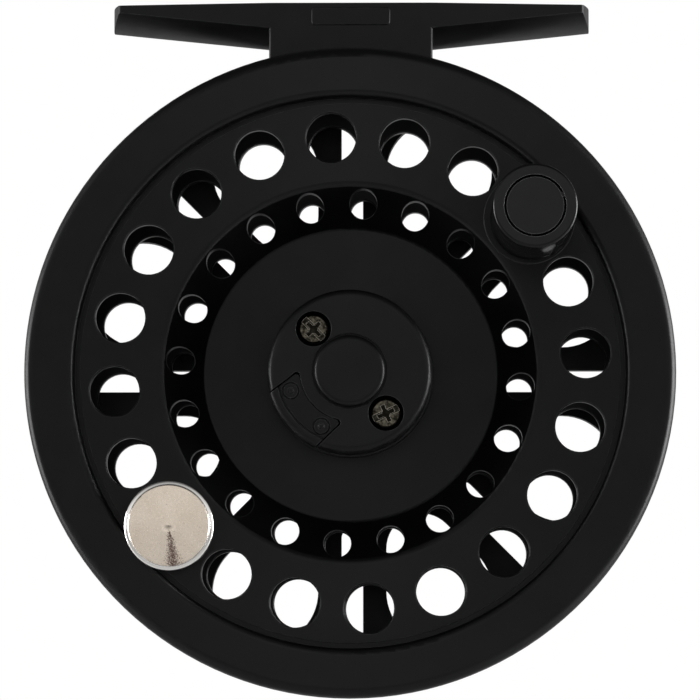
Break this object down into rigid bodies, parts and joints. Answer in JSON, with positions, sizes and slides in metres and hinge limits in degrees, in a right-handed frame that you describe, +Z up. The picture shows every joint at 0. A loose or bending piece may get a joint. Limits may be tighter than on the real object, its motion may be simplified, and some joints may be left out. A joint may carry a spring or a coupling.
{
  "type": "fly reel",
  "caption": "Large-arbor fly reel with a drilled spool, exposed palming rim, sliding spool release, handle with counterweight, open spoked frame and a rear drag knob.",
  "frame": {"origin": "centre of the foot's flat top, where a rod's reel seat bears on it", "axes": "+Z up out of the foot's flat top towards the rod, +Y from the handle side towards the drag knob along the spindle, +X to the right seen from the handle side"},
  "size_m": [0.087, 0.0562, 0.0942],
  "materials": {
    "satin_black": "satin anodised",
    "gloss_black": "glossy",
    "nickel": "turned and polished",
    "bronze": "dark antique",
    "steel": "satin",
    "brass": "satin",
    "cork": "matt"
  },
  "bodies": {
    "frame": {"frame": "satin_black", "reel_foot": "satin_black", "foot_screws": "steel", "foot_plate": "satin_black", "spindle": "steel", "spindle_clip": "steel", "frame_bushing": "brass", "drag_washer": "cork", "disc_springs": "steel", "detent_ball": "steel", "detent_spring": "steel", "pawl_screw": "steel", "pawl_spring": "steel"},
    "click_pawl": {"click_pawl": "steel"},
    "drive_hub": {"drive_hub": "steel", "roller_clutch": "steel", "click_gear": "steel", "gear_screws": "steel"},
    "spool": {"spool": "satin_black", "spool_back_flange": "satin_black", "spool_bushing": "brass", "hub_cover": "satin_black", "hub_cap": "satin_black", "hub_screws": "bronze", "latch_spring": "steel", "handle_pin": "steel", "handle_washer": "gloss_black", "counterweight": "nickel", "counterweight_screw": "steel"},
    "release_latch": {"release_latch": "satin_black", "latch_rivets": "satin_black"},
    "handle_knob": {"handle_knob": "gloss_black", "handle_cap": "gloss_black"},
    "drag_knob": {"drag_knob": "satin_black", "drag_nut": "brass", "drag_cap": "satin_black"}
  },
  "joints": [
    {"name": "spool_spin", "type": "hinge", "parent": "frame", "child": "drive_hub", "pos_m": [0, 0, -0.0507], "axis": [0, 1, 0], "continuous": true},
    {"name": "spool_release", "type": "slide", "parent": "drive_hub", "child": "spool", "axis": [0, -1, 0], "range_m": [0, 0.03]},
    {"name": "latch_slide", "type": "slide", "parent": "spool", "child": "release_latch", "axis": [-0.7593, 0, -0.6508], "range_m": [0, 0.0015], "stiffness_N_per_m": 300, "springref_m": -0.002, "deforming": ["latch_spring"]},
    {"name": "handle_spin", "type": "hinge", "parent": "spool", "child": "handle_knob", "pos_m": [0.0243, -0.015, -0.03025], "axis": [0, 1, 0], "continuous": true},
    {"name": "drag_adjust", "type": "hinge", "parent": "frame", "child": "drag_knob", "pos_m": [0, 0.015, -0.0507], "axis": [0, 1, 0], "range_deg": [0, 300]},
    {"name": "pawl_swing", "type": "hinge", "parent": "frame", "child": "click_pawl", "pos_m": [0, -0.015, -0.0347], "axis": [0, 1, 0], "range_deg": [-10, 10], "stiffness_Nm_per_rad": 0.004, "deforming": ["pawl_spring"]}
  ]
}
